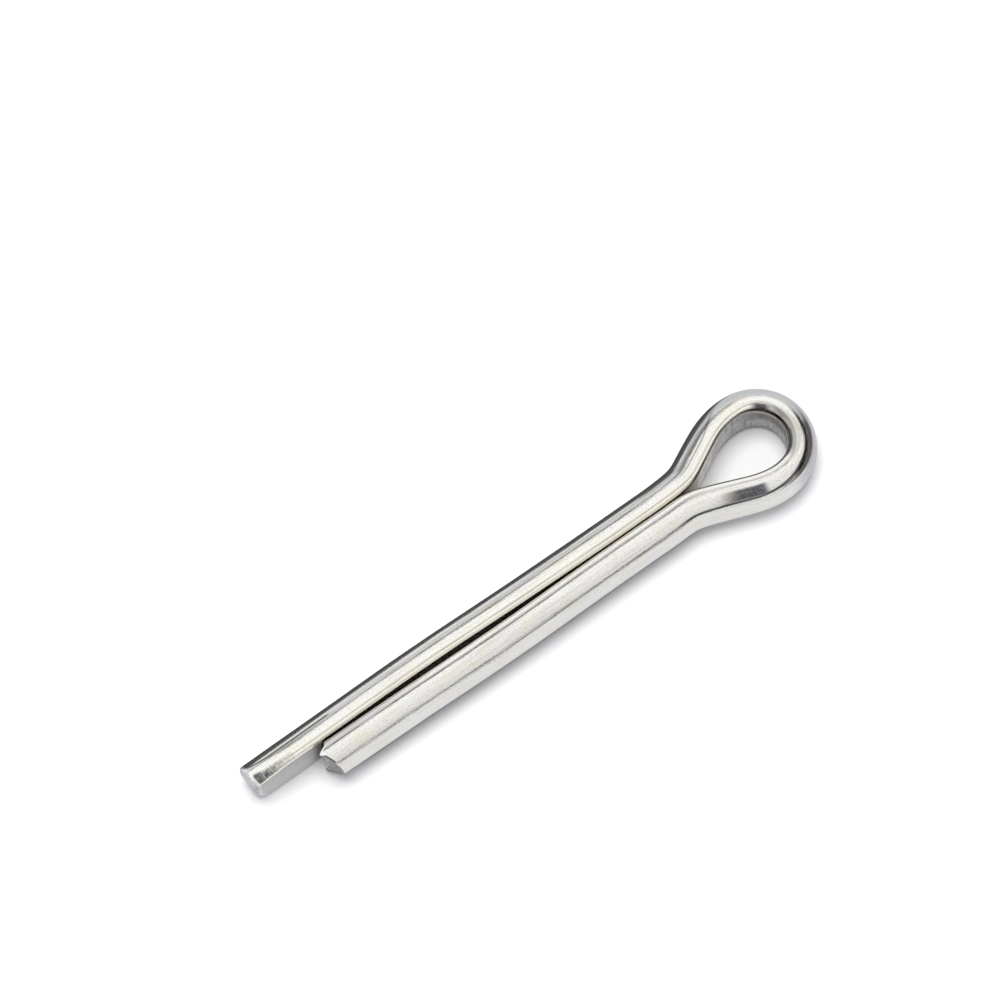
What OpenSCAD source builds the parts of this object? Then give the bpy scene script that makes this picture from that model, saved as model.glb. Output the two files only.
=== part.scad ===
// Split cotter pin: one length of half-round wire folded back on itself, so that
// the two flats face each other along the shank and open into a teardrop eye.
// X runs along the shank, with the eye at +X and the two cut ends at -X.
// Y points from the short leg to the long leg, and Z = 0 is the wire's middle.
// The origin is on the shank's axis, where the long leg starts to bend at the neck.

/* [Wire] */
// Diameter of the closed shank, and so the width of the wire's flat
shank_d = 3.6; // [3.2:0.1:4]
// Radius rolled along both edges of the flat
edge_r = 0.34; // [0.2:0.02:0.5]
// Thickness of the wire round the eye, where bending has drawn it thinner
eye_wire_t = 1.64; // [1.4:0.02:1.8]

/* [Legs] */
// Length of the short leg, from the origin to the longest corner of its end
short_leg_l = 24.7; // [10:0.1:60]
// How much further the long leg reaches
leg_step = 3.9; // [2:0.1:6]
// Gap between the two flats at the neck
neck_gap = 0.04; // [0.02:0.01:0.1]
// Gap between the two flats at the short leg's end
tip_gap = 0.12; // [0.04:0.01:0.3]
// Slant of the short leg's cut, which takes the round side back
short_cut_slant = 22; // [0:1:35]
// Lean of the long leg's cut, which takes the underside back
long_cut_lean = 15; // [0:1:30]

/* [Eye] */
// Width of the opening inside the eye
eye_w = 3.4; // [3:0.1:4.2]
// Angle that the long leg's flank makes with the shank
long_flank_angle = 28; // [22:1:34]
// Angle that the short leg's flank makes with the shank
short_flank_angle = 22; // [18:1:28]
// Bend radius of the flat at the neck of the long leg
long_neck_r = 2.9; // [2.4:0.1:3.6]
// Bend radius of the flat at the neck of the short leg
short_neck_r = 4; // [3:0.1:5]
// Bend radius of the flat where each flank turns in towards the eye's widest point
shoulder_r = 3.9; // [3:0.1:4.6]

/* [Smoothness] */
// Turn between two rings of the bent wire, in degrees
bend_step = 5; // [3:1:10]
// Facets over the round side of the bent wire
round_facets = 20; // [12:2:32]
// Facets over each rolled edge of the wire
edge_facets = 5; // [3:1:6]

/* [Hidden] */
$fn = 96;
steel = [0.78, 0.77, 0.74];

// The wire's section: n is the distance from the flat and z is the height.
// The round side keeps the shank's circle, and the flat lies half the neck's gap off its middle.
wire_r = shank_d / 2;
neck_y = neck_gap / 2;
neck_t = wire_r - neck_y;
edge_turn = asin((edge_r + neck_y) / (wire_r - edge_r));
edge_z = (wire_r - edge_r) * cos(edge_turn);
edge_sweep = 90 + edge_turn;
far = 2 * shank_d;

// The bent wire runs this far into each leg, and stays this much inside its skin
lap_l = 0.6;
seam_inset = 0.006;
lap_inset = 0.08;

// How the flat's path climbs from the neck to the widest point of the eye
eye_r = eye_w / 2;
eye_x = side_l(long_neck_r, long_flank_angle);
long_neck_x = 0;
short_neck_x = eye_x - side_l(short_neck_r, short_flank_angle);
leg_splay = atan((tip_gap - neck_gap) / 2 / short_leg_l);
long_leg_l = short_leg_l + leg_step;

// Straight length of one flank, between its neck bend and its shoulder bend
function flank_l(neck_r, angle) =
    (eye_r - neck_y - (neck_r + shoulder_r) * (1 - cos(angle))) / sin(angle);

// Length of one side of the eye along X, from its neck to the widest point
function side_l(neck_r, angle) =
    (neck_r + shoulder_r) * sin(angle) + flank_l(neck_r, angle) * cos(angle);

// Thickness of the wire as it goes from the neck, at 0, to the widest point, at 1
function wire_t(share) =
    neck_t + (eye_wire_t - neck_t) * share * share * (3 - 2 * share);

// Points of one rolled edge, from the flat to the round side
function edge_points() =
    [for (i = [0:edge_facets])
        let (a = 180 - edge_sweep * i / edge_facets)
            [edge_r + edge_r * cos(a), edge_z + edge_r * sin(a)]];

// Points inside the round side, from the upper edge to the lower one
function round_points() =
    [for (i = [1:round_facets - 1])
        let (a = (90 - edge_turn) * (1 - 2 * i / round_facets))
            [wire_r * cos(a) - neck_y, wire_r * sin(a)]];

function upside_down(points) =
    [for (i = [len(points) - 1:-1:0]) [points[i][0], -points[i][1]]];

function section() = concat(edge_points(), round_points(), upside_down(edge_points()));

// A station of the bent wire is [x, y, direction from flat to round side, thickness, inset].
// These are the stations of one side, on the long leg's side of the axis.
function neck_bend(neck_x, neck_r, angle, share) =
    let (steps = ceil(angle / bend_step))
        [for (i = [1:steps])
            let (a = angle * i / steps)
                [neck_x + neck_r * sin(a), neck_y + neck_r * (1 - cos(a)), 90 + a,
                 wire_t(share * i / steps), 0]];

function shoulder_bend(angle, share) =
    let (steps = ceil(angle / bend_step))
        [for (i = [0:steps - 1])
            let (a = angle * (1 - i / steps))
                [eye_x - shoulder_r * sin(a), eye_r - shoulder_r * (1 - cos(a)), 90 + a,
                 wire_t(share + (1 - share) * i / steps), 0]];

function lap_in(neck_x) =
    [[neck_x - lap_l, neck_y, 90, neck_t, lap_inset], [neck_x, neck_y, 90, neck_t, seam_inset]];

// The neck bend's share of the way is its share of the two bends' radii
function side_stations(neck_x, neck_r, angle) =
    let (share = neck_r / (neck_r + shoulder_r))
        concat(lap_in(neck_x), neck_bend(neck_x, neck_r, angle, share),
               shoulder_bend(angle, share));

function nose_bend() =
    let (steps = ceil(180 / bend_step))
        [for (i = [0:steps])
            let (a = 90 - 180 * i / steps)
                [eye_x + eye_r * cos(a), eye_r * sin(a), a, eye_wire_t, 0]];

function across_axis(stations) =
    [for (i = [len(stations) - 1:-1:0])
        let (s = stations[i]) [s[0], -s[1], -s[2], s[3], s[4]]];

function eye_stations() =
    concat(side_stations(long_neck_x, long_neck_r, long_flank_angle),
           nose_bend(),
           across_axis(side_stations(short_neck_x, short_neck_r, short_flank_angle)));

// The section at one station, thinned to its thickness and drawn in by its inset
function ring(station) =
    let (keep = 1 - station[4] / wire_r, middle = station[3] / 2)
        [for (p = section())
            let (n = middle + (p[0] * station[3] / neck_t - middle) * keep)
                [station[0] + n * cos(station[2]), station[1] + n * sin(station[2]),
                 p[1] * keep]];

// The round side is a true cylinder wall, and the rolled edges cross it at a slight angle
module wire_section() {
    top = edge_points();
    before = top[edge_facets - 1];
    way_out = before + (top[edge_facets] - before) * far / edge_r;
    outline = concat([for (i = [0:edge_facets - 1]) top[i]], [way_out]);
    intersection() {
        translate([-neck_y, 0])
            circle(r = wire_r);
        polygon(concat(outline, [[far, way_out[1]], [far, -way_out[1]]], upside_down(outline)));
    }
}

// One straight leg, on the long leg's side of the axis
module leg(neck_x, length) {
    translate([neck_x, neck_y, 0])
        rotate([0, 0, -leg_splay])
            translate([-length, 0, 0])
                rotate([90, 0, 90])
                    linear_extrude(height = length)
                        wire_section();
}

// The block that a cut removes, with its face through the origin
module beyond_cut() {
    translate([-2 * far, -far, -far])
        cube(2 * far);
}

module long_leg() {
    difference() {
        leg(long_neck_x, long_leg_l + wire_r);
        translate([-long_leg_l, 0, wire_r])
            rotate([0, -long_cut_lean, 0])
                beyond_cut();
    }
}

module short_leg() {
    mirror([0, 1, 0])
        difference() {
            leg(short_neck_x, short_leg_l + short_neck_x + wire_r);
            translate([-short_leg_l, 0, 0])
                rotate([0, 0, -short_cut_slant])
                    beyond_cut();
        }
}

// The neck, flanks, shoulders and nose, lofted through rings of the wire's section
module eye() {
    rings = [for (s = eye_stations()) ring(s)];
    per_ring = len(rings[0]);
    last = len(rings) - 1;
    skin = [for (i = [0:last - 1], j = [0:per_ring - 1])
        let (k = (j + 1) % per_ring)
            [i * per_ring + j, i * per_ring + k, (i + 1) * per_ring + k, (i + 1) * per_ring + j]];
    first_cap = [for (j = [per_ring - 1:-1:0]) j];
    last_cap = [for (j = [0:per_ring - 1]) last * per_ring + j];
    polyhedron([for (r = rings, p = r) p], concat(skin, [first_cap, last_cap]));
}

module cotter_pin() {
    color(steel) {
        eye();
        long_leg();
        short_leg();
    }
}

cotter_pin();
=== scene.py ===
import math

import bmesh
import bpy
import numpy as np
from mathutils import Euler, Matrix, Vector


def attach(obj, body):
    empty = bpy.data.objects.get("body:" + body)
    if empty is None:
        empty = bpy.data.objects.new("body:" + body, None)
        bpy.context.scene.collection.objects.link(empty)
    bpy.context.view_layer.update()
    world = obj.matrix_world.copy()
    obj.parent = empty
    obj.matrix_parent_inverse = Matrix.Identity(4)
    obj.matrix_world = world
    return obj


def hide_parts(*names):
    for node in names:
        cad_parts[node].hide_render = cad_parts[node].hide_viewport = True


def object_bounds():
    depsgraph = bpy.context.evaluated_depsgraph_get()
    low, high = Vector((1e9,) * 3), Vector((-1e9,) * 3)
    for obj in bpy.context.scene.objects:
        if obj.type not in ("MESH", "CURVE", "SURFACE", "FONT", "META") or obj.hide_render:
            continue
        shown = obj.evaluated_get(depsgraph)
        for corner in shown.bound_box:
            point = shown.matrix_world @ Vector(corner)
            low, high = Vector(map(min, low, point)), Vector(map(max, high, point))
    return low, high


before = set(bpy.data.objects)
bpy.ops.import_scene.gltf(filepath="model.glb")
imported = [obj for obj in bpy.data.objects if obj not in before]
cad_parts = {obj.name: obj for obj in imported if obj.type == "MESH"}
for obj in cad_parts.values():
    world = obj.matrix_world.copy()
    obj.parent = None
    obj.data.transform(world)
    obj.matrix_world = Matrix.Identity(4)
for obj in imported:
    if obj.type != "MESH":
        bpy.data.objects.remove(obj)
cad_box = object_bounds()


# The wire: one length of stainless half-round wire, drawn through a die and folded flat to flat.
# Its path is held as a heading against length, from the long leg's end round the eye to the
# short leg's end, and is eased a little at each bend, as a wire bent round a mandrel is.
MM = 0.001
SHANK_D = 3.6 * MM
WIRE_R = SHANK_D / 2
EDGE_R = 0.34 * MM
EYE_WIRE_T = 1.64 * MM
EYE_R = 1.7 * MM
# The flat lies this far off the pin's middle, and the wire is that much thinner than half a shank
NECK_Y = 0.02 * MM
NECK_T = WIRE_R - NECK_Y
SHORT_LEG_L = 24.7 * MM
LEG_STEP = 3.9 * MM
LONG_LEG_L = SHORT_LEG_L + LEG_STEP
LONG_NECK_R, LONG_ANGLE = 2.9 * MM, math.radians(28)
SHORT_NECK_R, SHORT_ANGLE = 4.0 * MM, math.radians(22)
SHOULDER_R = 3.9 * MM
# Steps of the path, and the lengths that its bends and the skin over them are eased over
STEP = 0.05 * MM
EASE = 0.35 * MM
SKIN_EASE = 0.9 * MM


def flank_length(neck_r, angle):
    climb = (neck_r + SHOULDER_R) * (1 - math.cos(angle))
    return (EYE_R - NECK_Y - climb) / math.sin(angle)


def side_length(neck_r, angle):
    """Length of one side of the eye along the pin, from its neck to the widest point."""
    along_bends = (neck_r + SHOULDER_R) * math.sin(angle)
    return along_bends + flank_length(neck_r, angle) * math.cos(angle)


EYE_X = side_length(LONG_NECK_R, LONG_ANGLE)
SHORT_NECK_X = EYE_X - side_length(SHORT_NECK_R, SHORT_ANGLE)

# Each stretch is its length and the angle that it turns through, left being positive.
STRETCHES = [
    (LONG_LEG_L, 0.0),
    (LONG_NECK_R * LONG_ANGLE, LONG_ANGLE),
    (flank_length(LONG_NECK_R, LONG_ANGLE), 0.0),
    (SHOULDER_R * LONG_ANGLE, -LONG_ANGLE),
    (math.pi * EYE_R, -math.pi),
    (SHOULDER_R * SHORT_ANGLE, -SHORT_ANGLE),
    (flank_length(SHORT_NECK_R, SHORT_ANGLE), 0.0),
    (SHORT_NECK_R * SHORT_ANGLE, SHORT_ANGLE),
    (SHORT_LEG_L + SHORT_NECK_X, 0.0),
]
# Where the stretches meet, as lengths along the wire from the long leg's end
ends = np.cumsum([0.0] + [length for length, turn in STRETCHES])
LONG_NECK, NOSE_START, NOSE_END, SHORT_NECK, WIRE_L = (ends[i] for i in (1, 4, 5, 8, 9))


def smooth(t):
    """0 up to 0 and 1 from 1 on, with a soft rise between them."""
    t = np.clip(t, 0.0, 1.0)
    return t * t * (3 - 2 * t)


def eased(values, spread):
    """Values at even steps along the wire, smoothed over the spread."""
    reach = int(3 * spread / STEP)
    weights = np.exp(-0.5 * (np.arange(-reach, reach + 1) * STEP / spread) ** 2)
    return np.convolve(np.pad(values, reach, mode="edge"), weights / weights.sum(), mode="valid")


def wire_path():
    """Distance along the wire, the flat's x and y, and the heading, at even steps."""
    turns = np.cumsum([0.0] + [turn for length, turn in STRETCHES])
    along = np.linspace(0.0, WIRE_L, int(round(WIRE_L / STEP)) + 1)
    heading = eased(np.interp(along, ends, turns), EASE)
    step = along[1] - along[0]
    middle = (heading[1:] + heading[:-1]) / 2
    x = np.concatenate([[0.0], np.cumsum(np.cos(middle))]) * step - LONG_LEG_L
    y = np.concatenate([[0.0], np.cumsum(np.sin(middle))]) * step + NECK_Y
    # Easing shifts the far end a little, and the nose takes that up
    spare_x, spare_y = x[-1] + SHORT_LEG_L, y[-1] + NECK_Y
    share = np.clip((along - NOSE_START) / (NOSE_END - NOSE_START), 0.0, 1.0)
    return along, x - share * spare_x, y - share * spare_y, heading


along, path_x, path_y, heading = wire_path()
skin_heading = eased(heading, SKIN_EASE)

# The legs spring slightly apart between the neck and their ends, and nearly meet again there.
BOW, TIP_BOW = 0.085 * MM, 0.012 * MM
BOW_FROM, BACK_FROM, BOW_RUN = 4 * MM, 15 * MM, 12 * MM
out = smooth((-path_x - BOW_FROM) / BOW_RUN)
back = smooth((-path_x - BACK_FROM) / BOW_RUN)
leg_side = np.where(along < NOSE_START, 1.0, -1.0)
path_y = path_y + leg_side * np.where(path_x < 0, BOW * out - (BOW - TIP_BOW) * back, 0.0)

# Both also keep a slight curve from the coil that the wire was drawn off.
COIL_SET = 0.11 * MM
COIL_FROM, COIL_RISE = -20 * MM, 10 * MM
COIL_TO, COIL_FALL = 2 * MM, 4 * MM
coil_rise = smooth((path_x - COIL_FROM) / COIL_RISE)
coil_fall = smooth((COIL_TO - path_x) / COIL_FALL)
path_y = path_y - COIL_SET * coil_rise * coil_fall

# The eye is drawn out along the pin until its nose reaches as far as the solid's.
EYE_REACH = 8.19 * MM
NOSE_X = EYE_REACH - EYE_WIRE_T
path_x = np.where(path_x > 0, path_x * NOSE_X / path_x.max(), path_x)

# The bend draws the wire thinner round the eye, and the long leg is a shade thinner than the short.
LONG_LEG_T = 1.71 * MM
in_eye = smooth(np.minimum(along - LONG_NECK, SHORT_NECK - along) / (NOSE_START - LONG_NECK))
thickness = NECK_T + (EYE_WIRE_T - NECK_T) * in_eye
thickness = np.where(along < LONG_NECK, LONG_LEG_T, thickness)
thickness = eased(thickness, SKIN_EASE)

# The section: a flat, a round side and two rolled edges. n runs out from the flat, z is up.
# Every point also keeps its place round the section, which the finish uses.
EDGE_TURN = math.asin((EDGE_R + NECK_Y) / (WIRE_R - EDGE_R))
EDGE_Z = (WIRE_R - EDGE_R) * math.cos(EDGE_TURN)
FLAT_POINTS, EDGE_POINTS, ROUND_POINTS = 10, 9, 44
# The skin is a hair lower than a true circle, to stay within the solid's facets
FACET_SHARE = 0.9985


def section_points():
    points = []
    for i in range(FLAT_POINTS):
        points.append((0.0, -EDGE_Z + 2 * EDGE_Z * i / FLAT_POINTS))
    for i in range(EDGE_POINTS):
        a = math.pi - (math.pi / 2 + EDGE_TURN) * i / EDGE_POINTS
        points.append((EDGE_R + EDGE_R * math.cos(a), EDGE_Z + EDGE_R * math.sin(a)))
    for i in range(ROUND_POINTS):
        a = (math.pi / 2 - EDGE_TURN) * (1 - 2 * i / ROUND_POINTS)
        points.append((WIRE_R * math.cos(a) - NECK_Y, WIRE_R * math.sin(a)))
    for i in range(EDGE_POINTS):
        a = EDGE_TURN - math.pi / 2 - (math.pi / 2 + EDGE_TURN) * i / EDGE_POINTS
        points.append((EDGE_R + EDGE_R * math.cos(a), -EDGE_Z + EDGE_R * math.sin(a)))
    return np.array(points) * (1.0, FACET_SHARE)


section = section_points()
ROUND = len(section)
gaps = np.linalg.norm(np.roll(section, -1, axis=0) - section, axis=1)
around = np.concatenate([[0.0], np.cumsum(gaps)])


# At both cuts the underside is rolled over in nearly a quarter round, broader on the round side.
ROLL_SHARE = 0.96
ROLL_N = 0.5 * MM


def rolled_under(z, radius):
    """How far back the underside is taken where it is rolled over."""
    depth = np.clip((radius - WIRE_R - z) / radius, 0.0, 1.0)
    return radius * (1 - np.sqrt(1 - ROLL_SHARE * depth ** 2))


def near_flat(n, width):
    """1 on the flat, and 0 from the width on."""
    return np.clip(1 - n / width, 0.0, 1.0)


# The shears leave the short leg with a blunt upright ridge and a burr at the top.
RIDGE_N, RIDGE_BACK = 0.75 * MM, 0.10 * MM
RIDGE_FLAT_SLOPE, RIDGE_ROUND_SLOPE = 0.55, 0.53
BURR_N, BURR_W, BURR_OUT = 0.50 * MM, 0.16 * MM, 0.36 * MM
BURR_Z, BURR_RISE = 1.15 * MM, 0.4 * MM
SHORT_ROLL, SHORT_ROLL_RUN = 1.1 * MM, 1.1 * MM
SHORT_ROLL_AT_FLAT = 0.40


def short_cut(n, z):
    """How far the short leg's cut takes each point of the section back."""
    slant = np.where(n > RIDGE_N, RIDGE_ROUND_SLOPE * (n - RIDGE_N), RIDGE_FLAT_SLOPE * (RIDGE_N - n))
    burr = np.exp(-(((n - BURR_N) / BURR_W) ** 2)) * smooth((z - BURR_Z) / BURR_RISE)
    round_share = smooth((n - ROLL_N) / SHORT_ROLL_RUN)
    roll = SHORT_ROLL * (SHORT_ROLL_AT_FLAT + (1 - SHORT_ROLL_AT_FLAT) * round_share)
    return slant + rolled_under(z, roll) + RIDGE_BACK - BURR_OUT * burr


# The shears leave the long leg nearly square, with the flat's edge and its foot taken back.
LONG_LEAN, LONG_BACK = math.tan(math.radians(1.5)), 0.01 * MM
LONG_ROLL, ROUND_ROLL, LONG_ROLL_RUN = 0.95 * MM, 0.35 * MM, 0.8 * MM
CORNER_BACK, CORNER_N = 0.12 * MM, 0.5 * MM
FOOT_BACK, FOOT_N = 0.28 * MM, 0.6 * MM
FOOT_Z, FOOT_RUN = 0.4 * MM, 1.2 * MM


def long_cut(n, z):
    """How far the long leg's cut takes each point of the section back."""
    corner = CORNER_BACK * near_flat(n, CORNER_N) ** 2
    foot = FOOT_BACK * near_flat(n, FOOT_N) * smooth((-z - FOOT_Z) / FOOT_RUN)
    roll = LONG_ROLL + ROUND_ROLL * smooth((n - ROLL_N) / LONG_ROLL_RUN)
    return LONG_LEAN * (WIRE_R - z) + rolled_under(z, roll) + corner + foot + LONG_BACK


# They also press the long tip's top down, most at the flat, and the short tip's foot up.
PRESS_REACH, PRESS_DROP, PRESS_Z = 1.3 * MM, 0.16 * MM, 0.8 * MM
PRESS_SLOPE, PRESS_N = 0.30, 0.95 * MM
FOOT_LIFT, LIFT_Z = 0.36 * MM, 1.2 * MM
LIFT_AT_FLAT, LIFT_PER_MM = 0.6, 0.5
# The bending tool rolls the nose's inner edges broader, over this width and by this much.
INNER_N, INNER_ROLL = 0.95 * MM, 0.33 * MM
INNER_START, INNER_END = 1.5 * MM, 2.0 * MM


def near_end(distance):
    return math.exp(-((distance / PRESS_REACH) ** 2))


def worked(points, i):
    """The section at station i, with what the shears and the bending tool do to it."""
    n, z = points[:, 0], points[:, 1].copy()
    upper, lower = smooth(z / PRESS_Z), smooth(-z / PRESS_Z)
    drop = PRESS_DROP + PRESS_SLOPE * np.clip(PRESS_N - n, 0.0, None)
    lift = FOOT_LIFT * (LIFT_AT_FLAT + LIFT_PER_MM * n / MM)
    z -= upper * near_end(along[i]) * drop
    z += smooth(-z / LIFT_Z) * near_end(WIRE_L - along[i]) * lift
    in_nose = (smooth((along[i] - NOSE_START) / INNER_START)
               * smooth((NOSE_END - along[i]) / INNER_END))
    z -= np.sign(z) * (upper + lower) * in_nose * INNER_ROLL * near_flat(n, INNER_N) ** 2
    return np.column_stack([n, z])


def stood_up(points, i, offset):
    """Section points stood up at station i of the path, moved along the wire by offset."""
    points = worked(points, i)
    n = points[:, 0] * thickness[i] / NECK_T
    left = skin_heading[i] + math.pi / 2
    x = path_x[i] + n * math.cos(left) + offset * math.cos(heading[i])
    y = path_y[i] + n * math.sin(left) + offset * math.sin(heading[i])
    return np.column_stack([x, y, points[:, 1]])


# The cuts are worked into the legs over this length, and each has a rim of its own radius. Its
# face closes in on the middle, and there each ring's place goes on past the wire's end.
CUT_REACH = 2.4 * MM
CUTS = {"long": long_cut, "short": short_cut}
RIMS = {"long": 0.20 * MM, "short": 0.06 * MM}
RIM_STEPS, FACE_STEPS = 5, 14
FACE_MIDDLE = np.array([0.42 * WIRE_R, 0.0])
FACE_PLACE = 0.1 * MM
# In a bend, which turns by more than this for each millimetre, every second step carries a ring
BEND_TURN, BEND_STEPS = 0.02, 2
LEG_STEPS = 5
LAST = len(along) - 1


def stations():
    """The path's steps that carry a ring."""
    turning = np.abs(np.gradient(heading, along)) * MM
    spacing = np.where(turning > BEND_TURN, BEND_STEPS, LEG_STEPS)
    found, i = [], 0
    while i < LAST:
        found.append(i)
        i += int(spacing[i])
    return found + [LAST]


def cut_offset(points, end):
    return CUTS[end](points[:, 0], points[:, 1])


def side_rings():
    """The rings between the two rims, each with its place along the wire."""
    rings, places = [], []
    for i in stations():
        from_long, from_short = along[i], WIRE_L - along[i]
        if from_long < RIMS["long"] or from_short < RIMS["short"]:
            continue
        offset = np.zeros(ROUND)
        if from_long < CUT_REACH:
            offset = offset + cut_offset(section, "long") * (1 - from_long / CUT_REACH)
        if from_short < CUT_REACH:
            offset = offset - cut_offset(section, "short") * (1 - from_short / CUT_REACH)
        rings.append(stood_up(section, i, offset))
        places.append(along[i])
    return rings, places


def end_rings(end):
    """The rings of one cut, over its rim and in to the middle of its face."""
    sign, station = (1.0, 0) if end == "long" else (-1.0, LAST)
    rim_r = RIMS[end]
    rings, places = [], []
    for k in range(RIM_STEPS + 1):
        a = math.pi / 2 * k / RIM_STEPS
        inward, depth = rim_r * (1 - math.cos(a)), rim_r * (1 - math.sin(a))
        points = FACE_MIDDLE + (section - FACE_MIDDLE) * (1 - inward / WIRE_R)
        rings.append(stood_up(points, station, sign * (cut_offset(points, end) + depth)))
        places.append(along[station] + sign * depth)
    for k in range(1, FACE_STEPS):
        shrink = (1 - rim_r / WIRE_R) * (1 - k / FACE_STEPS)
        points = FACE_MIDDLE + (section - FACE_MIDDLE) * shrink
        rings.append(stood_up(points, station, sign * cut_offset(points, end)))
        places.append(along[station] - sign * k * FACE_PLACE)
    return rings, places


def build_wire():
    side, side_places = side_rings()
    long_end, long_places = end_rings("long")
    short_end, short_places = end_rings("short")
    rings = long_end[::-1] + side + short_end
    places = long_places[::-1] + side_places + short_places
    verts = np.vstack(rings + [rings[0].mean(axis=0), rings[-1].mean(axis=0)])
    skin_count = len(rings) * ROUND
    long_hub, short_hub = skin_count, skin_count + 1
    faces = []
    for a in range(0, skin_count - ROUND, ROUND):
        for j in range(ROUND):
            k = (j + 1) % ROUND
            faces.append((a + j, a + k, a + ROUND + k, a + ROUND + j))
    for j in range(ROUND):
        k = (j + 1) % ROUND
        faces.append((long_hub, k, j))
        faces.append((short_hub, skin_count - ROUND + j, skin_count - ROUND + k))
    mesh = bpy.data.meshes.new("cotter_pin_wire")
    mesh.from_pydata([tuple(v) for v in verts], [], faces)
    mesh.validate()

    # U runs along the wire and V round it, both in millimetres
    uv = np.zeros((len(mesh.loops), 2), np.float32)
    for poly in mesh.polygons:
        corners = [mesh.loops[loop].vertex_index for loop in poly.loop_indices]
        wraps = {v % ROUND for v in corners if v < skin_count} == {0, ROUND - 1}
        for loop, v in zip(poly.loop_indices, corners):
            ring, column = divmod(v, ROUND)
            if v >= skin_count:
                ring, column = (0 if v == long_hub else -1), 0
            place_round = around[-1] if wraps and column == 0 else around[column]
            uv[loop] = (places[ring] / MM, place_round / MM)
    layer = mesh.uv_layers.new(name="wire")
    layer.data.foreach_set("uv", uv.ravel())
    mesh.polygons.foreach_set("use_smooth", [True] * len(mesh.polygons))
    mesh.update()
    wire = bpy.data.objects.new("pin_wire", mesh)
    bpy.context.scene.collection.objects.link(wire)
    return wire


pin = build_wire()
bm = bmesh.new()
bm.from_mesh(pin.data)
bmesh.ops.recalc_face_normals(bm, faces=bm.faces)
bm.to_mesh(pin.data)
bm.free()
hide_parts("cotter_pin")
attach(pin, "root")


# The wire's finish: bright stainless steel as it leaves the die, with fine lengthwise draw lines.
# The flat is duller, and darker inside the eye, and the two sheared faces are torn and
# grey.
steel = bpy.data.materials.new("drawn_steel")
steel.use_nodes = True
web = steel.node_tree
bsdf = web.nodes["Principled BSDF"]
bsdf.inputs["Metallic"].default_value = 1.0


def put(tree, value, socket):
    """A number or a colour is set on the socket, and another node's output is linked to it."""
    if isinstance(value, (int, float, tuple)):
        socket.default_value = value
    else:
        tree.links.new(value, socket)


def reckon(tree, operation, *values):
    """A Math node's result."""
    node = tree.nodes.new("ShaderNodeMath")
    node.operation = operation
    for value, socket in zip(values, node.inputs):
        put(tree, value, socket)
    return node.outputs[0]


def times(tree, first, *others):
    """The product of masks and numbers."""
    for value in others:
        first = reckon(tree, "MULTIPLY", first, value)
    return first


def plus(tree, first, *others):
    for value in others:
        first = reckon(tree, "ADD", first, value)
    return first


def fade(tree, value, low, high, bottom=0.0, top=1.0):
    """From bottom to top as the value goes from low to high."""
    node = tree.nodes.new("ShaderNodeMapRange")
    node.interpolation_type = "SMOOTHSTEP"
    for name, number in zip(("From Min", "From Max", "To Min", "To Max"), (low, high, bottom, top)):
        node.inputs[name].default_value = number
    tree.links.new(value, node.inputs["Value"])
    return node.outputs["Result"]


def between(tree, value, low, high, soft):
    """1 between low and high, easing to 0 outside them."""
    return times(tree, fade(tree, value, low - soft, low + soft),
                 fade(tree, value, high - soft, high + soft, 1.0, 0.0))


def blend(tree, mask, under, over, kind="MIX"):
    node = tree.nodes.new("ShaderNodeMix")
    node.data_type = "RGBA"
    node.blend_type = kind
    put(tree, mask, node.inputs["Factor"])
    put(tree, under, node.inputs["A"])
    put(tree, over, node.inputs["B"])
    return node.outputs["Result"]


# Places on the skin are in millimetres: along the wire from the long leg's end, from its neck or
# from the short leg's end, and round it from the flat's lower edge, up the flat and over the top.
skin = web.nodes.new("ShaderNodeUVMap")
skin.uv_map = "wire"
skin_split = web.nodes.new("ShaderNodeSeparateXYZ")
web.links.new(skin.outputs["UV"], skin_split.inputs[0])
from_tip, skin_round = skin_split.outputs[0], skin_split.outputs[1]
from_neck = reckon(web, "SUBTRACT", from_tip, LONG_NECK / MM)
from_short_tip = reckon(web, "SUBTRACT", from_tip, WIRE_L / MM)
FLAT_W = 2 * EDGE_Z / MM
ROUND_FROM = FLAT_W + EDGE_R * (math.pi / 2 + EDGE_TURN) / MM


def patch(place, start_end, low_high, soft_along, soft_round):
    """1 on the patch of skin between two places along the wire and two places round it."""
    return times(web, between(web, place, *start_end, soft_along),
                 between(web, skin_round, *low_high, soft_round))


def wire_noise(along_scale, round_scale, detail, seed):
    """Noise over the wire's own skin, in marks per millimetre along it and round it."""
    move = web.nodes.new("ShaderNodeMapping")
    move.inputs["Scale"].default_value = (along_scale, round_scale, 1.0)
    move.inputs["Location"].default_value = (seed, seed * 0.7, seed)
    noise = web.nodes.new("ShaderNodeTexNoise")
    noise.inputs["Scale"].default_value = 1.0
    noise.inputs["Detail"].default_value = detail
    web.links.new(skin.outputs["UV"], move.inputs["Vector"])
    web.links.new(move.outputs["Vector"], noise.inputs["Vector"])
    return noise.outputs["Fac"]


on_flat = between(web, skin_round, 0.0, FLAT_W, 0.12)
EYE_PATH = (SHORT_NECK - LONG_NECK) / MM
inside_eye = between(web, from_neck, 0.3, EYE_PATH - 0.3, 1.2)
on_face = reckon(web, "MAXIMUM", fade(web, from_tip, -0.02, 0.03, 1.0, 0.0),
                 fade(web, from_short_tip, -0.03, 0.02))

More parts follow.
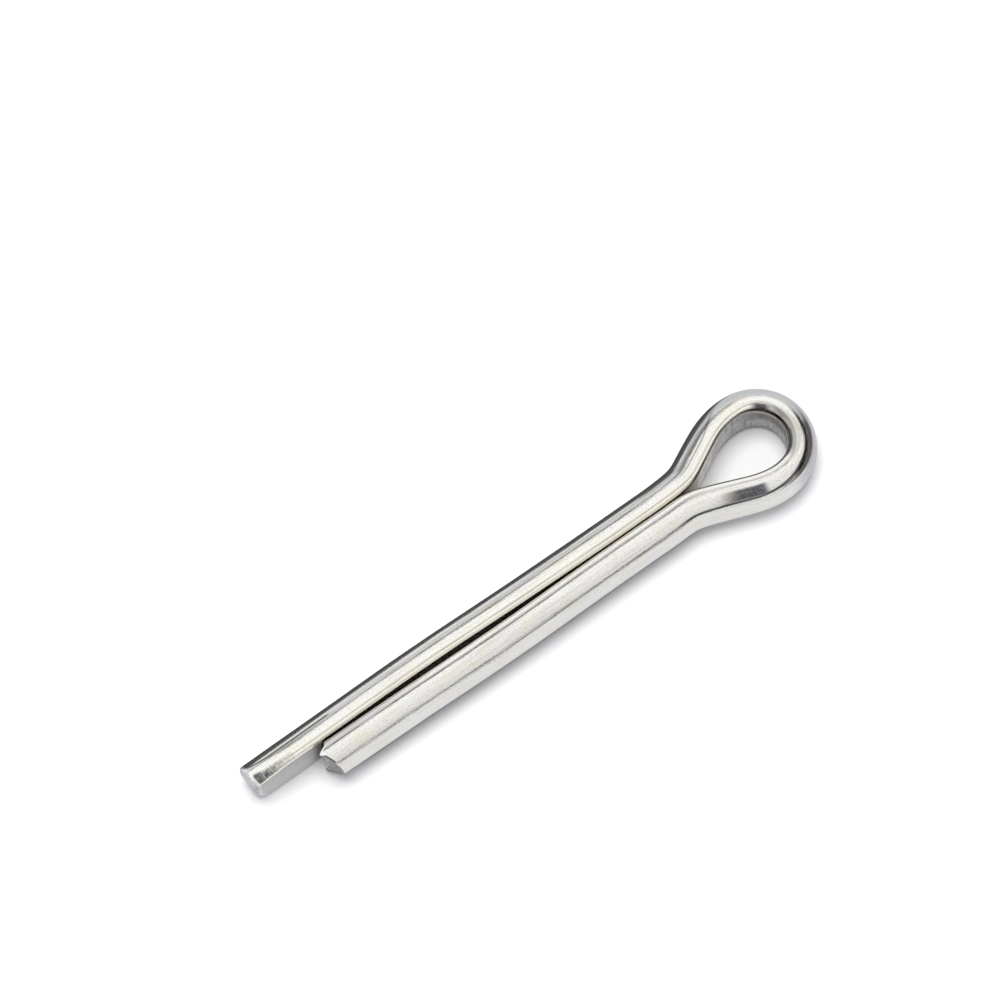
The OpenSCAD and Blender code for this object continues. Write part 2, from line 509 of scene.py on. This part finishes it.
# The draw lines and specks, each with where its noise starts to show, where it shows in full,
# its depth and its tone
BRIGHT, WARM = (0.82, 0.81, 0.785, 1), (0.81, 0.78, 0.69, 1)
lines = wire_noise(0.25, 9.0, 4.0, 3.1)
broad = wire_noise(0.12, 2.2, 3.0, 11.7)
cloud = wire_noise(0.8, 1.1, 4.0, 23.0)
hairs = wire_noise(0.45, 22.0, 3.0, 71.0)
specks = wire_noise(6.0, 12.0, 4.0, 41.0)
colour = blend(web, fade(web, cloud, 0.45, 0.72), BRIGHT, WARM)
for noise, low, high, depth, tone in (
        (lines, 0.50, 0.68, 0.27, (0.45, 0.44, 0.42, 1)),
        (broad, 0.50, 0.75, 0.12, (0.50, 0.49, 0.46, 1)),
        (hairs, 0.52, 0.66, 0.20, (0.42, 0.41, 0.39, 1)),
        (specks, 0.49, 0.65, 0.26, (0.42, 0.41, 0.38, 1))):
    colour = blend(web, fade(web, noise, low, high, 0.0, depth), colour, tone)


def laid_over(mask, depth, tone):
    """The colour so far, with the tone laid over it to the given depth where the mask is 1."""
    return blend(web, times(web, mask, depth), colour, tone)


# The warmer rolled edge along the long leg, and a painted dark reflection line beside the short leg's
# rolled edge
NOSE_FROM = NOSE_START / MM
warm_edge = times(web, between(web, skin_round, FLAT_W - 0.05, ROUND_FROM, 0.10),
                  fade(web, from_tip, NOSE_FROM + 1, NOSE_FROM + 4, 1.0, 0.0))
colour = laid_over(warm_edge, 0.45, (0.85, 0.80, 0.66, 1))
painted_short_edge_line = times(web, between(web, skin_round, ROUND_FROM - 0.02, ROUND_FROM + 0.03, 0.03),
               fade(web, from_short_tip, (SHORT_NECK - WIRE_L) / MM, -6.0),
               fade(web, cloud, 0.30, 0.55, 0.35, 1.0))
colour = laid_over(painted_short_edge_line, 0.65, (0.12, 0.12, 0.12, 1))


def painted_dark_line(middle, half, place, start_end, soft, depth):
    """A painted dark line along the wire, whose middle is a place round it and half is half its width."""
    off_middle = reckon(web, "SUBTRACT", skin_round, middle)
    line = times(web, between(web, off_middle, -half, half, 0.045),
                 between(web, place, *start_end, soft))
    return laid_over(line, depth, (0.09, 0.088, 0.088, 1))


# Painted dark reflection lines: one from the nose along the eye's short side and on to the
# shank, one along its long side, and one at the long leg's tip
short_side_line = fade(web, from_neck, 9.4, 12.2, 4.20, 4.52)
long_side_line = fade(web, from_neck, 2.9, 6.6, 3.80, 5.60)
tip_line = fade(web, from_tip, 0.0, 1.6, 4.40, 4.18)
colour = painted_dark_line(short_side_line, 0.065, from_neck, (9.6, 16.7), 0.6, 0.93)
colour = painted_dark_line(long_side_line, 0.045, from_neck, (0.2, 4.6), 0.5, 0.60)
colour = painted_dark_line(tip_line, 0.068, from_tip, (0.25, 5.5), 0.20, 0.94)

# A dark line along the eye's inner edge, broken up by noise
inner_edge_dark_line = times(web, patch(from_neck, (5.1, 14.4), (2.90, 3.12), 0.8, 0.07),
                  fade(web, cloud, 0.35, 0.55, 0.45, 0.85))
colour = blend(web, inner_edge_dark_line, colour, (0.10, 0.095, 0.09, 1))
# Painted dark reflection on the nose's inner rolled edge
painted_nose_reflection = patch(from_neck, (6.9, 9.7), (3.05, 3.50), 0.4, 0.07)
colour = laid_over(painted_nose_reflection, 0.8, (0.27, 0.265, 0.25, 1))

# Where the bending tool held the short side, with a painted dark reflection laid over the scuffs, and
# where it pressed the nose
held_scuffs_and_painted_reflection = times(web, fade(web, from_neck, 11.35, 11.75), fade(web, from_neck, 12.8, 14.3, 1.0, 0.0),
             between(web, skin_round, 3.76, 4.44, 0.09))
pressed = patch(from_neck, (6.05, 6.8), (3.02, 3.42), 0.25, 0.07)
# Where the shears crushed the long leg's tip, in strokes across a strip that narrows to a trail
over_strip = reckon(web, "SUBTRACT", skin_round, fade(web, from_tip, 0.3, 1.1, 3.70, 3.52))
strip = times(web, fade(web, over_strip, -0.08, 0.08, 1.0, 0.0), fade(web, skin_round, 2.98, 3.10),
              between(web, from_tip, 0.14, 2.6, 0.08), fade(web, from_tip, 0.7, 2.4, 1.0, 0.30))
strokes = reckon(web, "MAXIMUM", fade(web, wire_noise(15.0, 2.6, 1.0, 33.0), 0.40, 0.60, 0.42, 1.0),
                 fade(web, from_tip, 0.45, 0.85, 0.95, 0.0))
crushed = times(web, strip, strokes)
grit = wire_noise(7.0, 7.0, 4.0, 91.0)
ragged = wire_noise(2.0, 5.0, 4.0, 13.0)
# The marks darken the colour, and the held patch among them carries a painted dark reflection
marks_and_painted_reflection = reckon(web, "MAXIMUM", held_scuffs_and_painted_reflection, reckon(web, "MAXIMUM", pressed, crushed))
marks_and_painted_reflection = times(web, marks_and_painted_reflection, fade(web, ragged, 0.34, 0.50, 0.88, 1.0),
              fade(web, grit, 0.36, 0.56, 0.90, 1.0))
colour = blend(web, marks_and_painted_reflection, colour, (0.105, 0.105, 0.12, 1))

# The short leg's rolled edge, with painted shade that deepens towards its tip
painted_tip_edge_shade = times(web, between(web, skin_round, 2.98, 3.36, 0.06),
                  fade(web, from_short_tip, -9.0, -2.0, 0.0, 0.55))
colour = blend(web, painted_tip_edge_shade, colour, (0.38, 0.37, 0.39, 1))

# The eye's inner wall, darker above and scored from edge to edge, and the duller flats beyond it
WALL_DARK_TOP, DULL = (0.30, 0.275, 0.24, 1), (0.72, 0.71, 0.69, 1)
scored = wire_noise(4.0, 0.5, 3.0, 57.0)
wall = blend(web, fade(web, skin_round, 0.5, FLAT_W - 0.5), (0.80, 0.77, 0.74, 1), WALL_DARK_TOP)
wall = blend(web, fade(web, from_neck, 4.6, 6.6, 0.85, 0.0), wall, (0.90, 0.875, 0.84, 1))
wall = blend(web, fade(web, scored, 0.40, 0.66, 0.0, 0.45), wall, (0.14, 0.13, 0.12, 1))
wall = blend(web, fade(web, grit, 0.50, 0.66, 0.0, 0.55), wall, (0.10, 0.09, 0.08, 1))
dull = blend(web, fade(web, specks, 0.42, 0.62, 0.0, 0.40), DULL, (0.44, 0.43, 0.45, 1))
colour = blend(web, on_flat, colour, blend(web, inside_eye, dull, wall))

# Painted shade in the crotch, where the legs part, and a painted shadow on the long leg's flat beside the
# short leg's end
painted_crotch_shade = times(web, patch(from_neck, (-0.2, 1.15), (0.6, 3.05), 0.25, 0.10),
               fade(web, grit, 0.35, 0.60, 0.45, 0.85))
colour = blend(web, painted_crotch_shade, colour, (0.25, 0.215, 0.165, 1))
SHORT_END = LEG_STEP / MM
painted_shadow_beside_end = times(web, on_flat, between(web, from_tip, SHORT_END + 0.08, SHORT_END + 1.3, 0.34),
                   fade(web, ragged, 0.34, 0.56, 0.80, 1.0))
colour = laid_over(painted_shadow_beside_end, 0.90, (0.14, 0.12, 0.095, 1))

# The two torn faces, which are chipped all over
TORN, CHIPPED = (0.78, 0.775, 0.77, 1), (0.47, 0.45, 0.48, 1)
spot = web.nodes.new("ShaderNodeTexCoord").outputs["Object"]
chips = web.nodes.new("ShaderNodeTexNoise")
chips.inputs["Scale"].default_value = 7.5 / MM
chips.inputs["Detail"].default_value = 3.0
web.links.new(spot, chips.inputs["Vector"])
torn = blend(web, fade(web, chips.outputs["Fac"], 0.40, 0.60), TORN, CHIPPED)
colour = blend(web, on_face, colour, torn)

# The long leg's rounded end, scoured bright in patches, with a painted highlight along its outer rim
long_rim = fade(web, from_tip, 0.16, 0.26, 1.0, 0.0)
scour_and_painted_highlight = blend(web, fade(web, chips.outputs["Fac"], 0.38, 0.62), (0.74, 0.745, 0.74, 1),
              (0.50, 0.51, 0.505, 1))
scour_and_painted_highlight = blend(web, fade(web, from_tip, 0.02, 0.09), scour_and_painted_highlight, (0.95, 0.95, 0.94, 1))
colour = blend(web, times(web, long_rim, 0.85), colour, scour_and_painted_highlight)

# The burr that the shears left on the short leg, with a painted highlight on it, and a painted line of
# shade below it
painted_burr_highlight = patch(from_short_tip, (-0.22, 0.12), (3.34, 3.70), 0.05, 0.05)
colour = laid_over(painted_burr_highlight, 0.9, (0.97, 0.97, 0.98, 1))
painted_shade_below_burr = patch(from_short_tip, (-0.07, 0.05), (3.72, 4.45), 0.03, 0.06)
colour = laid_over(painted_shade_below_burr, 0.9, (0.08, 0.08, 0.08, 1))

# The short face's foot, where it rolls under, painted dark with its contact shadow up to a line that
# climbs outwards
spot_split = web.nodes.new("ShaderNodeSeparateXYZ")
web.links.new(spot, spot_split.inputs[0])
spot_out = reckon(web, "DIVIDE", spot_split.outputs[1], -MM)
spot_up = reckon(web, "DIVIDE", spot_split.outputs[2], MM)
above_foot = reckon(web, "SUBTRACT", spot_up, fade(web, spot_out, 0.4, 1.7, 0.0, 0.65))
painted_foot_shadow = times(web, fade(web, from_short_tip, -0.05, 0.0),
                  fade(web, above_foot, -1.02, -0.86, 1.0, 0.0))
colour = laid_over(painted_foot_shadow, 0.85, (0.13, 0.13, 0.14, 1))
web.links.new(colour, bsdf.inputs["Base Color"])

# The drawn side is smooth, and the flat, the torn faces and the marks are rougher
rough = fade(web, broad, 0.3, 0.8, 0.085, 0.17)
rough = plus(web, rough, times(web, on_flat, 0.22), times(web, on_face, 0.30), times(web, marks_and_painted_reflection, 0.25),
             times(web, reckon(web, "MAXIMUM", long_rim, painted_burr_highlight), 0.22))
web.links.new(rough, bsdf.inputs["Roughness"])

# The relief of the draw lines, the specks, the ground of the marks and the chipped faces
relief = plus(web, lines, times(web, broad, 1.5), times(web, specks, 0.35),
              times(web, plus(web, marks_and_painted_reflection, 0.02), grit, 3.0),
              times(web, on_face, chips.outputs["Fac"], 3.0))
bump = web.nodes.new("ShaderNodeBump")
bump.inputs["Strength"].default_value = 0.30
bump.inputs["Distance"].default_value = 0.02 * MM
web.links.new(relief, bump.inputs["Height"])
web.links.new(bump.outputs["Normal"], bsdf.inputs["Normal"])
pin.data.materials.append(steel)


# The floor: a plain pale board with a matt face, much wider than what is seen of it. The pin
# lies loose on it, with its flats upright.
floor_z = cad_box[0][2]
paper = bpy.data.materials.new("white_board")
paper.use_nodes = True
paper_bsdf = paper.node_tree.nodes["Principled BSDF"]
paper_bsdf.inputs["Base Color"].default_value = (0.95, 0.95, 0.95, 1)
paper_bsdf.inputs["Roughness"].default_value = 0.9


def level_sheet(name, reach, z, material):
    """A square sheet round the origin, lying level at height z."""
    sheet_mesh = bpy.data.meshes.new(name)
    corners = [(-reach, -reach, z), (reach, -reach, z), (reach, reach, z), (-reach, reach, z)]
    sheet_mesh.from_pydata(corners, [], [(0, 1, 2, 3)])
    sheet_mesh.materials.append(material)
    sheet = bpy.data.objects.new(name, sheet_mesh)
    bpy.context.scene.collection.objects.link(sheet)
    return sheet


floor = level_sheet("floor", 1500 * MM, floor_z, paper)


# The light: a white tent, with the seams and openings that bright metal shows as dark lines.
# A direction is given in degrees by its angle from straight up, across the pin, or by its
# bearing round the pin and its height.
world = bpy.data.worlds.new("tent")
bpy.context.scene.world = world
world.use_nodes = True
tent = world.node_tree
background = tent.nodes["Background"]
ray = tent.nodes.new("ShaderNodeTexCoord").outputs["Generated"]
ray_split = tent.nodes.new("ShaderNodeSeparateXYZ")
tent.links.new(ray, ray_split.inputs[0])
ray_x, ray_y, ray_z = ray_split.outputs
across = reckon(tent, "DEGREES", reckon(tent, "ARCTAN2", ray_y, ray_z))
height = reckon(tent, "DEGREES", reckon(tent, "ARCSINE", ray_z))
bearing = reckon(tent, "DEGREES", reckon(tent, "ARCTAN2", ray_y, ray_x))

# The two long panels and the duller strip between them, from the near side over to the far.
# A ramp holds no more than 1, so the levels are halved in it.
PANELS = [(-90, 0.80), (-78, 0.86), (-50, 1.02), (-22, 1.20), (-10, 0.84), (14, 0.86), (20, 1.10),
          (45, 1.20), (66, 1.14), (74, 0.9), (90, 0.72)]
panels = tent.nodes.new("ShaderNodeValToRGB")
stops = panels.color_ramp.elements
while len(stops) < len(PANELS):
    stops.new(0.5)
for stop, (angle, level) in zip(stops, PANELS):
    stop.position = (angle + 90) / 180
    stop.color = (level / 2, level / 2, level / 2, 1)
tent.links.new(reckon(tent, "DIVIDE", plus(tent, across, 90.0), 180.0), panels.inputs["Fac"])
light = times(tent, panels.outputs["Color"], 2.0)


def darker(mask, depth):
    """The light so far, taken down by depth where the mask is 1."""
    return times(tent, light, reckon(tent, "SUBTRACT", 1.0, times(tent, mask, depth)))


def part_of_tent(bearings, heights, soft_bearing, soft_height):
    return times(tent, between(tent, bearing, *bearings, soft_bearing),
                 between(tent, height, *heights, soft_height))


# The seam between two panels, which runs along the pin
seam = times(tent, between(tent, across, -17.0, -10.5, 1.0), between(tent, ray_x, 0.08, 0.40, 0.06))
light = darker(seam, 0.85)
# The gap over the table's near edge, and the one over its far edge, higher up
light = darker(part_of_tent((-150.0, -40.0), (3.0, 8.0), 15.0, 1.0), 0.95)
light = darker(part_of_tent((74.0, 150.0), (11.0, 17.0), 5.0, 2.0), 0.90)
# The open end of the tent, beyond the eye
light = darker(part_of_tent((-64.0, 18.0), (-3.0, 20.0), 12.0, 3.0), 0.97)
# A dark screen that stands over the left part of the near edge
light = darker(part_of_tent((-150.0, -103.0), (5.0, 54.0), 3.0, 5.0), 0.30)
# The plain end beyond the tips, a little duller than the sides
tip_end = times(tent, fade(tent, ray_x, -0.62, -0.36, 1.0, 0.0), fade(tent, height, 50.0, 72.0, 1.0, 0.0))
light = darker(tip_end, 0.12)
# The board takes less of the tent's light, and the lamp gives it the rest
on_board = tent.nodes.new("ShaderNodeLightPath").outputs["Is Diffuse Ray"]
light = darker(on_board, 0.40)
# Beyond the eye's far shoulder the tent stands open a little lower down
light = darker(part_of_tent((89.0, 150.0), (-4.0, 11.0), 4.0, 2.0), 0.60)
tint = blend(tent, on_board, (1, 1, 1, 1), (0.94, 0.955, 1.03, 1))
tent.links.new(blend(tent, 1.0, tint, light, "MULTIPLY"), background.inputs["Color"])
background.inputs["Strength"].default_value = 1.0
bpy.context.scene.view_settings.view_transform = "Standard"


# The lamp: a broad one nearly straight above the tent, a shade warm, which throws the soft
# shadow. The metal doesn't show it.
lamp = bpy.data.lights.new("lamp", "SUN")
lamp.energy = 2.3
lamp.angle = math.radians(32)
lamp.color = (1.0, 0.995, 0.985)
lamp_stand = bpy.data.objects.new("lamp", lamp)
lamp_stand.rotation_euler = Vector((-0.03, 0.09, 0.99)).to_track_quat("Z", "Y").to_euler()
lamp_stand.visible_glossy = False
bpy.context.scene.collection.objects.link(lamp_stand)


# The card: what the metal sees of the table, a dull cloth just over the board, with a black card
# beside the long leg that gives the side of the leg its dark edge. Only reflections see it.
CARD_REACH = 400 * MM
CARD_LIFT = 0.02 * MM
cloth = bpy.data.materials.new("table_cloth")
cloth.use_nodes = True
weave = cloth.node_tree
table_split = weave.nodes.new("ShaderNodeSeparateXYZ")
weave.links.new(weave.nodes.new("ShaderNodeNewGeometry").outputs["Position"], table_split.inputs[0])
table_x = reckon(weave, "DIVIDE", table_split.outputs[0], MM)
table_y = reckon(weave, "DIVIDE", table_split.outputs[1], MM)
# This grows across a slanting line that leaves the eye's shoulder on the far side
SHOULDER_SLANT = 0.404
past_shoulder = plus(weave, table_x, times(weave, table_y, SHOULDER_SLANT))
# Beyond that line the table is duller, all but its near part
far_half = times(weave, fade(weave, past_shoulder, 3.0, 6.0), fade(weave, table_y, -11.0, -5.0))
cloth_tone = blend(weave, far_half, (0.76, 0.76, 0.76, 1), (0.50, 0.52, 0.55, 1))
# The black card, from the long leg's tip to the eye's shoulder, and from the leg to its far edge
far_edge = plus(weave, fade(weave, table_x, -26.0, -21.0, 10.5, 8.8),
                fade(weave, table_x, -2.0, 3.0, 0.0, 3.0))
past_edge = reckon(weave, "SUBTRACT", table_y, far_edge)
on_card = times(weave, fade(weave, table_x, -29.6, -28.8), fade(weave, past_shoulder, 7.0, 8.6, 1.0, 0.0),
                fade(weave, table_y, 1.7, 2.0), fade(weave, past_edge, -0.4, 0.4, 1.0, 0.0))
cloth_tone = blend(weave, on_card, cloth_tone, (0.03, 0.03, 0.03, 1))
# The table ends a little beyond the eye
table_end = times(weave, fade(weave, table_x, 11.0, 15.0), fade(weave, table_y, -1.0, 5.0, 1.0, 0.0))
cloth_tone = blend(weave, table_end, cloth_tone, (0.05, 0.037, 0.04, 1))
# The shade beside the short leg, which draws a thin line along its foot
foot_shade = times(weave, between(weave, table_y, -2.45, -0.9, 0.12),
                   fade(weave, table_x, -1.0, 2.0, 1.0, 0.0))
cloth_tone = blend(weave, foot_shade, cloth_tone, (0.26, 0.26, 0.27, 1))
weave.links.new(cloth_tone, weave.nodes["Principled BSDF"].inputs["Base Color"])
card = level_sheet("card", CARD_REACH, floor_z + CARD_LIFT, cloth)
card.visible_camera = card.visible_diffuse = card.visible_shadow = False


# The camera: a long lens, well back from the pin. It looks steeply down on it from the tips' end
# and the short leg's side, so that the tips lie at the left and the eye at the right.
camera = bpy.data.cameras.new("camera")
camera.lens = 421.9
camera.sensor_width = 36.0
camera.clip_start, camera.clip_end = 0.01, 10.0
camera_stand = bpy.data.objects.new("camera", camera)
camera_place = Vector((-128.431, -147.326, 605.457)) * MM
camera_turn = Euler([math.radians(turn) for turn in (17.8163, -0.6459, -36.1398)])
camera_stand.matrix_world = Matrix.LocRotScale(camera_place, camera_turn, None)
bpy.context.scene.collection.objects.link(camera_stand)
bpy.context.scene.camera = camera_stand
